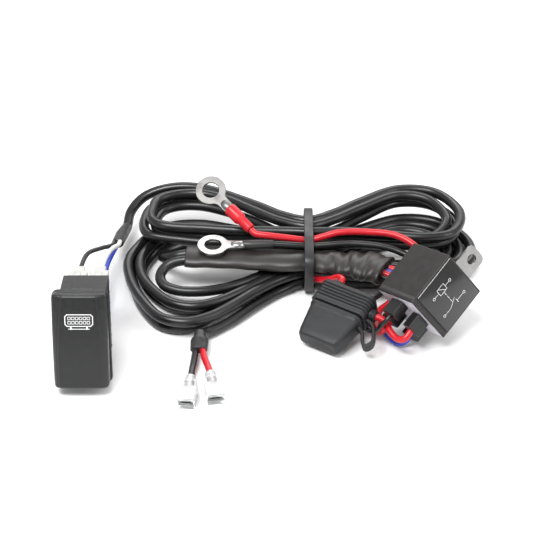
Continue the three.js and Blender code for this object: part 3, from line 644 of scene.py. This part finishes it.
def makeSleeve():
    route = [(-61, -15.6, 16.2), (-45, -16.6, 16.2), (-29, -18.1, 16.2), (-12, -19.3, 16.2),
             (0, -19.9, 16.2),
             (17, -22.5, 16.5), (28, -25.2, 16.8), (37.5, -30, 17)]
    path = smoothPoints(route, 0.8)

    def section(i, share):
        x = path[i].x
        ring = []
        pinch = 1 - 0.13 * math.exp(-((x - 0) / 4.5) ** 2)
        mouth = 1 - 0.05 * math.exp(-((x + 61) / 3.0) ** 2)
        for k in range(sleeve["sides"]):
            a = 2 * math.pi * k / sleeve["sides"]
            c, s = math.cos(a), math.sin(a)
            # creases fan out from the tie, and soft splice lumps lie to its left
            wave = math.sin(0.62 * x + 2.4 * c + 0.9 * math.sin(0.23 * x + a))
            crease = 0.95 * (abs(wave) ** 0.6 * (1 if wave > 0 else -1)) * ramp(x, 3,
                    9) * (1 - 0.5 * ramp(x, 24, 38))
            crease += 0.35 * math.sin(1.5 * x - 3.4 * c) * ramp(x, 5, 16)
            lump = 0.6 * math.sin(0.16 * x + 1.3) * math.sin(a) + 0.35 * math.sin(0.42 * x + 2 * a)
            fold = 0.5 * math.cos(3 * a + 0.05 * x) * ramp(-x, -10, 30)
            flare = 2.4 * ramp(x, 10, 30)
            r = -0.35 + crease - 0.3 * abs(crease) + 0.5 * lump + 0.4 * fold + flare
            ring.append(((sleeve["halfWidth"] + r) * pinch * mouth * c,
                         (sleeve["halfHeight"] + 0.5 * r) * pinch * mouth * s))
        return ring

    outer = sweepRings(path, section)
    lip = []
    for end, inward in ((outer[0], 1), (outer[-1], -1)):
        middle = sum(end, Vector()) / len(end)
        into = (path[6] - path[0]).normalized() if inward == 1 else (path[-7] - path[-1]).normalized()
        lip.append([[middle + (p - middle) * 0.88 for p in end],
                    [middle + (p - middle) * 0.86 + into * 3 for p in end]])
    rings = [lip[0][1], lip[0][0]] + outer + [lip[1][0], lip[1][1]]
    points, faces = loft(rings)
    piece = newPiece("junctionSleeve", meshOf("junctionSleeve", points, faces), sleeveShrink)
    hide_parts("junction_sleeve")


makeSleeve()


def makeBoot(name, node, route, sizes, material):
    path = smoothPoints(route, 0.5)

    def section(i, share):
        spot = share * (len(sizes) - 1)
        j = min(int(spot), len(sizes) - 2)
        t = ramp(spot - j, 0, 1)
        w, h = [sizes[j][n] * (1 - t) + sizes[j + 1][n] * t for n in (0, 1)]
        return ovalSection(w, h, 28)

    points, faces = loft(sweepRings(path, section))
    piece = newPiece(name, meshOf(name, points, faces), material)
    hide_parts(node)
    return piece


makeBoot("lampBoot", "lamp_boot", [(-52.2, -66.6, 6.1), (-52.4, -72, 5.4), (-52.6, -78, 4.6)],
         [(2.75, 2.75), (3.1, 2.95), (4.3, 3.1), (4.2, 2.5), (4.05, 2.3)], shrinkGrey)
makeBoot("switchBoot", "switch_boot", [(-93.6, 24.6, 8), (-95.6, 13, 10), (-96.6, 3, 12)],
         [(2.7, 2.7), (3.0, 3.0), (3.3, 3.1), (3.2, 2.8), (3.1, 2.6)], shrinkGrey)
print("tie, sleeve and boots made")


# rocker switch
rocker = dict(width=25, height=45, back=-3.2, end=-8.0, crown=1.5, tilt=7, pivotDepth=6, middle=23.5,
              panelHalf=10.6, panelWaist=2.9, panelStep=0.4, flank=1.0, edge=1.2)
rockerTurn = (Matrix.Translation((0, rocker["pivotDepth"], rocker["middle"]))
              @ Matrix.Rotation(math.radians(-rocker["tilt"]), 4, "X")
              @ Matrix.Translation((0, -rocker["pivotDepth"], 0)))
rockerFrame = switchFrame @ rockerTurn


def panelSide(z):
    # half the raised panel's width: narrow at the top, widest below the middle
    top = (z / rocker["height"]) + 0.5
    return rocker["panelHalf"] - rocker["panelWaist"] * top ** 2 - 0.5 * (1 - top) ** 3


def rockerDepth(x, z):
    # how far forward the face is: crowned lengthways, with a raised middle panel between curved lines
    share = 1 - (z / (rocker["height"] / 2)) ** 2
    depth = rocker["end"] - rocker["crown"] * share
    side = panelSide(z)
    depth -= rocker["panelStep"] * (1 - ramp(abs(x), side - 0.3, side + 0.3)) + 0.3 * (1 - (x / 12.5) ** 2)
    depth += rocker["flank"] * ramp(abs(x), side + 0.2, rocker["width"] / 2)
    edgeX = max(0, abs(x) - (rocker["width"] / 2 - rocker["edge"])) / rocker["edge"]
    edgeZ = max(0, abs(z) - (rocker["height"] / 2 - rocker["edge"])) / rocker["edge"]
    depth += rocker["edge"] * (1 - math.sqrt(max(0, 1 - min(1, edgeX ** 2 + edgeZ ** 2))))
    return depth


def makeRocker():
    halfX, halfZ = rocker["width"] / 2, rocker["height"] / 2

    def spread(half, count):
        # rows crowd together near the two edges
        return [half * math.sin(math.pi / 2 * (2 * i / count - 1)) for i in range(count + 1)]

    zs = spread(halfZ, 64)
    wide, tall = 61, len(zs)
    points = []
    for z in zs:
        # columns crowd at the panel's edges, and the corners are rounded
        corner = max(0, abs(z) - (halfZ - 2.6)) / 2.6
        reach = halfX - 1.6 * (1 - math.sqrt(max(0, 1 - corner ** 2)))
        side = panelSide(z)
        marks = [-reach, -side - 0.35, -side - 0.1, -side + 0.1, -side + 0.35]
        marks = marks + [-m for m in reversed(marks)]
        counts = [12, 3, 3, 3, 18, 3, 3, 3, 12]
        xs = [a + (b - a) * k / n for a, b, n in zip(marks, marks[1:], counts) for k in range(n)] + [reach]
        points += [(x, rockerDepth(x, z), z) for x in xs]
    faces = [(j * wide + i, j * wide + i + 1, (j + 1) * wide + i + 1, (j + 1) * wide + i)
             for j in range(tall - 1) for i in range(wide - 1)]
    rim = [i for i in range(wide)] + [j * wide + wide - 1 for j in range(1, tall)]
    rim += [(tall - 1) * wide + i for i in range(wide - 2, -1, -1)] + [j * wide for j in range(tall - 2,
            0, -1)]
    start = len(points)
    for depth, inset in ((rocker["back"] + 0.3, 0), (rocker["back"], 0.3)):
        points += [(points[r][0] * (1 - inset / halfX), depth,
                    points[r][2] * (1 - inset / halfZ)) for r in rim]
    size = len(rim)
    for k in range(size):
        n = (k + 1) % size
        faces.append((rim[k], rim[n], start + n, start + k))
        faces.append((start + k, start + n, start + size + n, start + size + k))
    faces.append(tuple(start + size + k for k in range(size)))
    face = newPiece("rockerFace", meshOf("rockerFace", points, faces, rockerFrame), rockerPlastic, "rocker")
    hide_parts("rocker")
    hub = boxMesh("rockerHub", (-7.5, rocker["back"] - 0.2, -5.5), (7.5, 4, 5.5), 0.6, rockerFrame)
    newPiece("rockerHub", hub, rockerPlastic, "rocker")


makeRocker()


def printedStrip(points, width, closed=False, lift=0.03):
    # a flat printed line on the rocker's face, following its crown
    path = [Vector(p) for p in points]
    if closed:
        path.append(path[0])
    out, faces = [], []
    for a, b in zip(path, path[1:]):
        steps = max(1, int((b - a).length / 0.5))
        along = (b - a).normalized()
        side = Vector((-along.y, along.x)) * width / 2
        base = len(out)
        for s in range(steps + 1):
            p = a.lerp(b, s / steps) + along * (width / 2 if s == steps else -width / 2 if s == 0 else 0)
            for q in (p + side, p - side):
                out.append((q.x, rockerDepth(q.x, q.y) - lift, q.y))
        faces += [(base + 2 * s, base + 2 * s + 1, base + 2 * s + 3,
                   base + 2 * s + 2) for s in range(steps)]
    return out, faces


def makeIcon():
    # a lamp bar: a long frame holding two rows of lenses, on a line with two feet
    icon = dict(width=12.4, height=5.4, middle=11.2, line=0.42, columns=6, rows=2)
    w, h, m = icon["width"] / 2, icon["height"] / 2, icon["middle"]
    points, faces = [], []

    def put(line, width, closed=False):
        more, rims = printedStrip(line, width, closed)
        base = len(points)
        points.extend(more)
        faces.extend(tuple(base + i for i in f) for f in rims)

    cut = 0.9
    put([(-w + cut, m - h), (w - cut, m - h), (w, m - h + cut), (w, m + h - cut), (w - cut, m + h),
         (-w + cut, m + h), (-w, m + h - cut), (-w, m - h + cut)], icon["line"], True)
    cell = (icon["width"] - 2) / icon["columns"]
    for row in range(icon["rows"]):
        for column in range(icon["columns"]):
            x = -w + 1 + cell * (column + 0.5)
            z = m + (row - 0.5) * 2.0
            r = cell / 2 - 0.28
            put([(x - r, z - 0.62), (x + r, z - 0.62), (x + r, z + 0.62), (x - r, z + 0.62)], 0.26, True)
    put([(-w + 1.6, m - h - 1.3), (w - 1.6, m - h - 1.3)], 0.36)
    for x in (-w + 2.6, w - 2.6):
        put([(x, m - h - 0.2), (x, m - h - 1.2)], 0.7)
    newPiece("rockerIcon", meshOf("rockerIcon", points, faces, rockerFrame, False), whitePrintAndHighlight, "rocker")


makeIcon()
softened("switchBezel", "switch_bezel", switchPlastic, 0.5, "harness")
softened("switchBody", "switch_body", switchPlastic, 0.4, "harness", 2)


def makeSwitchTrim():
    rib = boxMesh("bodyRib", (-0.35, 6, 6), (0.35, 25, 6.8), 0.15, Matrix.Scale(mm, 4), 1)
    for sideX, name in ((-10.5, "switchRibsLeft"), (10.5, "switchRibsRight")):
        unit = rib.copy()
        unit.transform(Matrix.Translation((sideX * mm, 0, 0)))
        unit.transform(switchFrame @ Matrix.Scale(1 / mm, 4))
        up = (switchFrame.to_3x3() @ Vector((0, 0, 5.6)))
        repeated(name, unit, switchPlastic, (7, 1), (up, (0, 0, 0)))


makeSwitchTrim()
for i, (x, z) in enumerate(((-5, 35.5), (5, 35.5), (5, 11.5))):
    softened(f"switchPlug{i + 1}", f"switch_plug_{i + 1}", nylonPlastic, 0.7, "harness", 3)
    for side in (-1, 1):
        latch = boxMesh("latch", (x - 1.6, 31, z + side * 3.4 - 0.5),
                        (x + 1.6, 37, z + side * 3.4 + 0.5), 0.35,
                        switchFrame)
        newPiece(f"switchLatch{i + 1}{'a' if side < 0 else 'b'}", latch, nylonPlastic)
print("switch made")

# relay
relay = dict(side=28, height=29)
softened("relayCover", "relay_cover", relayMatte, 0.9, "harness", 4)
# the base's pale colour is the painted reflection of the floor
softened("relayBase", "relay_base", paleBaseFloorReflection, 0.35, "harness", 2)
for terminal in ("30", "87", "85", "86"):
    softened("relayBoot" + terminal, "relay_boot_" + terminal, blackJacket, 0.5, "harness", 3)


def makeRelayTrim():
    # a glossy printed panel with thin wiring lines and a painted highlight along its left edge, a rim round the
    # base and the bracket's foot
    s, h = relay["side"], relay["height"]
    panel = boxMesh("relayPanel", (0.9, -0.12, 3.4), (s - 0.9, 0.3, h - 0.9), 0.1, relayFrame, 2)
    newPiece("relayPanel", panel, relayGloss)
    points, faces = [], []

    def line(ax, az, bx, bz, width=0.22):
        a, b = Vector((ax, az)), Vector((bx, bz))
        along = (b - a).normalized()
        side = Vector((-along.y, along.x)) * width / 2
        a, b = a - along * width / 2, b + along * width / 2
        base = len(points)
        points.extend((q.x, -0.15, q.y) for q in (a + side, a - side, b - side, b + side))
        faces.append((base, base + 1, base + 2, base + 3))

    def dot(cx, cz, radius, sides=20):
        base = len(points)
        for k in range(sides):
            a, b = 2 * math.pi * k / sides, 2 * math.pi * (k + 1) / sides
            for r, t in ((radius, a), (radius, b), (radius - 0.22, b), (radius - 0.22, a)):
                points.append((cx + r * math.cos(t), -0.15, cz + r * math.sin(t)))
        faces.extend(tuple(base + 4 * k + n for n in range(4)) for k in range(sides))

    for corner in ((9, 9), (9, 21), (20, 7.5), (20, 22.5)):
        dot(corner[0], corner[1], 0.75)
    # the last line, a thin white strip down the panel's left edge at x=1.25, is a painted highlight of the
    # edge's bevel, not print
    for a in ((7.2, 12.6, 10.8, 12.6), (10.8, 12.6, 10.8, 17.4), (10.8, 17.4, 7.2, 17.4),
              (7.2, 17.4, 7.2, 12.6),
              (9, 9.8, 9, 12.6), (9, 17.4, 9, 20.2), (7.2, 13.4, 10.8, 16.6), (20, 8.3, 20, 12.4),
              (20, 12.4, 17.6, 17), (20, 17.2, 20, 21.7), (18.9, 17.2, 21.1, 17.2), (10.8, 15, 13, 15),
              (13.8, 15, 15.6, 15), (16.4, 15, 18, 15), (1.25, 3.7, 1.25, h - 1.2)):
        line(*a)
    newPiece("relayPrintAndHighlight", meshOf("relayPrintAndHighlight", points, faces, relayFrame, False), whitePrintAndHighlight)
    skirt = []
    for reach, z in ((0, 3.2), (0, 0.35), (0.3, 0), (0.7, 0), (0.9, 0.3), (0.9, 3.2)):
        side = s / 2 - reach
        skirt.append([(x + s / 2, y + s / 2, z) for x,
                      y in roundedSection(side, side, max(0.9 - reach, 0.3), 6)])
    points, faces = loft(skirt, closedLoop=True)
    newPiece("relaySkirt", meshOf("relaySkirt", points, faces, relayFrame), relayMatte)
    foot = boxMesh("bracketFoot", (12.6, 8.6, h - 0.2), (25.4, 11.8, h + 1.1), 0.35, relayFrame)
    newPiece("bracketFoot", foot, relayMatte)


makeRelayTrim()
softened("relayBracket", "relay_bracket", brightMetal, 0.22, "harness", 2, 40)
print("relay made")

# fuse holder
fuse = dict(width=29, thick=13, base=13, cap=19.5, taper=0.78, ribs=4, ribPitch=1.75, ribStart=2.2)


def ringOf(width, thick, radius, z, perCorner=7):
    return [(x, y, z) for x, y in roundedSection(width / 2, thick / 2, radius, perCorner)]


def taperedBody(levels):
    return loft([ringOf(w, t, r, z) for w, t, r, z in levels])


def makeFuseHolder():
    f = fuse
    w, t = f["width"], f["thick"]
    outer = [(w - 3, t - 3, 2.2, 0.0), (w - 1.2, t - 1.2, 3, 0.25), (w - 0.4, t - 0.4, 3.2, 1.0),
             (w - 0.4, t - 0.4, 3.2, 10.2),
             (w, t, 3.3, 10.5), (w + 0.3, t + 0.3, 3.4, 10.9), (w + 0.3, t + 0.3, 3.4, 12.4),
             (w, t, 3.3, 12.85),
             (w - 0.8, t - 0.8, 3, 13.0), (21.2, 6.8, 2, 13.0), (21.2, 6.8, 2, 4.2), (20.6, 6.2, 1.8, 4.0)]
    points, faces = taperedBody(outer)
    base = newPiece("fuseBase", meshOf("fuseBase", points, faces, fuseFrame), holderRubber)
    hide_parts("fuse_base")
    # ribs round the base
    section = [(0.0, -0.5), (0.55, -0.3), (0.62, 0.0), (0.55, 0.3), (0.0, 0.5)]
    rings = []
    for reach, z in section:
        rings.append([(x, y, z + f["ribStart"]) for x, y in
                      roundedSection(w / 2 - 0.4 + reach, t / 2 - 0.4 + reach, 3.2 + reach, 7)])
    size = len(rings[0])
    points = [p for ring in rings for p in ring]
    faces = [(a * size + k, a * size + (k + 1) % size, ((a + 1) % 5) * size + (k + 1) % size,
              ((a + 1) % 5) * size + k)
             for a in range(5) for k in range(size)]
    rib = meshOf("fuseRib", points, faces, fuseFrame)
    step = fuseFrame.to_3x3() @ Vector((0, 0, f["ribPitch"]))
    repeated("fuseRibs", rib, holderRubber, (f["ribs"] + 1, 1), (step, (0, 0, 0)))
    # outlets that grip the wires
    lathed = [(-1.0, 2.9), (0.0, 3.1), (0.6, 3.1), (0.9, 2.6), (1.4, 2.6), (1.7, 2.95), (2.2, 2.95),
              (2.5, 2.45),
              (3.0, 2.4), (3.1, 1.75)]
    points, faces = lathe(lathed)
    side = fuseFrame @ Matrix.Translation((w / 2, 0, 7))
    back = fuseFrame @ Matrix.Translation((-8.5, 0, 0)) @ Matrix.Rotation(math.radians(90), 4, "Y")
    for name, place in (("fuseSideOutlet", side), ("fuseBackOutlet", back)):
        newPiece(name, meshOf(name, points, faces, place), holderRubber)

    # the cap narrows to its tip, with a rolled rim
    start, end = f["base"] + 0.3, f["base"] + 0.3 + f["cap"]
    cw, ct = w - 1.6, t - 1.2
    levels = [(cw - 3.2, ct - 3.2, 1.6, start + 1.2), (cw - 3.0, ct - 3.0, 2, start + 0.1),
              (cw - 1, ct - 1, 2.8, start),
              (cw + 0.2, ct + 0.2, 3.1, start + 0.35), (cw + 0.3, ct + 0.3, 3.1, start + 1.5),
              (cw + 0.1, ct + 0.1, 3, start + 1.9),
              (cw - 0.5, ct - 0.5, 2.9, start + 2.1)]
    for i in range(1, 9):
        share = i / 9
        scale = 1 + (f["taper"] - 1) * (2 + share * 16.2) / f["cap"]
        levels.append(((cw - 0.1) * scale, (ct - 0.1) * scale, 2.9 * scale, start + 2.1 + 15.6 * share))
    for drop, inset in ((1.0, 0.35), (0.45, 1.0), (0.12, 2.0), (0.0, 3.4)):
        levels.append((cw * f["taper"] - inset, ct * f["taper"] - inset, max(0.7, 2.4 - inset * 0.3),
                       end - drop))
    points, faces = taperedBody(levels)
    cap = newPiece("fuseCap", meshOf("fuseCap", points, faces, fuseFrame), holderRubber, "fuse_cap")
    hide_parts("fuse_cap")
    # the strap: a flat band that loops from the base's rim to the cap's
    edge = w / 2
    route = [(edge - 0.4, 0, 11.4), (edge + 1.6, 0, 11.6), (edge + 4, 0, 12.8), (edge + 7.2, 0, 17),
             (edge + 9, 0, 22),
             (edge + 7, 0, 25), (edge + 4.4, 0, 22.8), (edge + 2.4, 0, 19.4), (edge + 0.6, 0, 17.6),
             (edge - 1.2, 0, 16.6)]
    path = smoothPoints(route, 0.4)

    def section(i, share):
        swell = 0.25 * math.exp(-((share - 0.55) / 0.08) ** 2)
        return roundedSection(0.8 + swell, 2.0 + swell, 0.6, 5)

    rings = sweepRings(path, section, up=Vector((0, 1, 0)))
    points, faces = loft(rings)
    strap = newPiece("capStrap", meshOf("capStrap", points, faces, fuseFrame), holderRubber, None)
    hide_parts("cap_strap")
    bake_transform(strap)


makeFuseHolder()
print("fuse holder made")

# ring terminals
ring = dict(outer=7.7, hole=4.2, thick=1.2, neck=7)


def flatPlate(name, outline, hole, thick, bevel, matrix, material, body):
    # a stamped plate with a round hole, as a filled curve that becomes a mesh
    data = bpy.data.curves.new(name, "CURVE")
    data.dimensions = "2D"
    data.fill_mode = "BOTH"
    for points in (outline, hole):
        line = data.splines.new("POLY")
        line.points.add(len(points) - 1)
        line.use_cyclic_u = True
        for point, (x, y) in zip(line.points, points):
            point.co = (x, y, 0, 1)
    data.extrude = thick / 2 - bevel
    data.bevel_depth = bevel
    data.bevel_resolution = 2
    data.offset = -bevel
    holder = bpy.data.objects.new(name, data)
    bpy.context.scene.collection.objects.link(holder)
    bpy.context.view_layer.update()
    mesh = bpy.data.meshes.new_from_object(holder.evaluated_get(bpy.context.evaluated_depsgraph_get()))
    bpy.data.objects.remove(holder)
    work = bmesh.new()
    work.from_mesh(mesh)
    bmesh.ops.remove_doubles(work, verts=work.verts, dist=1e-4)
    bmesh.ops.recalc_face_normals(work, faces=work.faces)
    bmesh.ops.transform(work, matrix=matrix, verts=work.verts)
    work.to_mesh(mesh)
    work.free()
    mesh.name = name
    return newPiece(name, mesh, material, body)


def arc(cx, cy, radius, start, end, count):
    return [(cx + radius * math.cos(math.radians(start + (end - start) * i / count)),
             cy + radius * math.sin(math.radians(start + (end - start) * i / count))) for i in range(count + 1)]


def makeRing(label, matrix, material, metal, profile, flat):
    half, end = 2.8, ring["outer"] + ring["neck"]
    turn = math.degrees(math.asin((half + 1.2) / ring["outer"]))
    outline = arc(0, 0, ring["outer"], turn, 360 - turn, 64)
    outline += [(ring["outer"] * 0.98, -half - 0.35), (ring["outer"] + 1.4, -half), (end, -half)]
    outline += [(end, half), (ring["outer"] + 1.4, half), (ring["outer"] * 0.98, half + 0.35)]
    plate = flatPlate(f"ring{label}Plate", outline, arc(0, 0, ring["hole"], 0, 354, 59), ring["thick"],
                      0.22, matrix,
                      metal, "harness")
    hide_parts("ring_terminal_" + label.lower())
    points, faces = lathe(profile, 40, flat)
    sleevePiece = newPiece(f"ring{label}Barrel", meshOf(f"ring{label}Barrel", points, faces, matrix),
                           material)
    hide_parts("ring_barrel_" + label.lower())
    curl = [(ring["outer"] + 1.2, 1.3), (ring["outer"] + 2.2, 1.9), (ring["outer"] + 3.4, 2.25),
            (end + 1.0, 2.3), (end + 1.4, 1.2)]
    points, faces = lathe(curl, 32, lambda x: 0.62 + 0.3 * ramp(x, ring["outer"], end))
    newPiece(f"ring{label}Throat", meshOf(f"ring{label}Throat", points, faces, matrix), metal)


first = ring["outer"] + ring["neck"] + 0.3
makeRing("Red", redRingFrame, redJacket, tinnedMetal,
         [(first - 1.2, 1.6), (first - 1.0, 2.9), (first - 0.6, 3.2), (first, 3.3), (first + 6.6, 3.3),
          (first + 7.3, 3.1),
          (first + 7.8, 2.6), (first + 13.8, 2.5), (first + 14.6, 2.35), (first + 15, 2.1),
          (first + 14.6, 1.7)],
         lambda x: 1 - 0.22 * math.exp(-((x - first - 3.2) / 1.9) ** 2))
makeRing("Black", blackRingFrame, shrinkGrey, brightMetal,
         [(first - 1.0, 1.7), (first, 2.3), (first + 4, 2.5), (first + 8, 2.35), (first + 13, 2.2),
          (first + 15, 2.05),
          (first + 15.2, 1.7)],
         lambda x: 1 - 0.1 * math.exp(-((x - first - 4) / 2.5) ** 2))
print("ring terminals made")

# spade terminals
for label, origin, along in (("Black", (-57.2, -116.2, 2.8), (0.08, 1, 0)),
                             ("Red", (-43.6, -113, 2.8), (-0.16, 1, 0))):
    y = Vector(along).normalized()
    spadeFrame = frameAt(origin, x=y.cross(Vector((0, 0, 1))), z=(0, 0, 1))
    softened(f"spadeSleeve{label}", f"spade_sleeve_{label.lower()}", clearVinyl, 0.9, "harness",
             4)
    for side in (-1, 1):
        curl = [(-0.2, 0.25), (0, 0.62), (0.3, 0.72), (5.8, 0.72), (6.1, 0.6), (6.2, 0.25)]
        points, faces = lathe(curl, 20)
        place = spadeFrame @ Matrix.Translation((side * 2.55, 1.2,
                                                 0.3)) @ Matrix.Rotation(math.radians(90), 4, "Z")
        newPiece(f"spadeCurl{label}{'a' if side < 0 else 'b'}", meshOf("curl", points, faces, place),
                 brightMetal)
    crimp = [(7.2, 0.9), (8.0, 1.5), (10.4, 1.55), (10.9, 1.35), (11.4, 1.6), (13.6, 1.6), (14.2, 1.2)]
    points, faces = lathe(crimp, 24)
    newPiece(f"spadeCrimp{label}", meshOf("crimp", points, faces,
             spadeFrame @ Matrix.Rotation(math.radians(90), 4, "Z")), brightMetal)
print("spade terminals made")

# finishes on the CAD nodes that stay
stay = {
    "rocker_pin": tinnedMetal, "rocker_plunger": nylonPlastic, "contact_lever": copperMetal,
    "relay_coil": copperMetal, "relay_core": tinnedMetal, "relay_yoke": tinnedMetal,
    "relay_armature": tinnedMetal,
    "fuse_body": fuseGreen, "fuse_element": tinnedMetal, "fuse_clip_1": brassMetal,
    "fuse_clip_2": brassMetal,
    "spade_terminal_black": brightMetal, "spade_terminal_red": brightMetal,
}
stay.update({f"switch_terminal_{i}": brassMetal for i in (1, 2, 3)})
stay.update({f"relay_blade_{n}": brassMetal for n in ("30", "87", "85", "86")})
for node, material in stay.items():
    nodes[node].data.materials.clear()
    nodes[node].data.materials.append(material)
bare = [n for n, o in nodes.items() if not o.hide_render and n not in stay]
print("CAD nodes still plain:", bare)
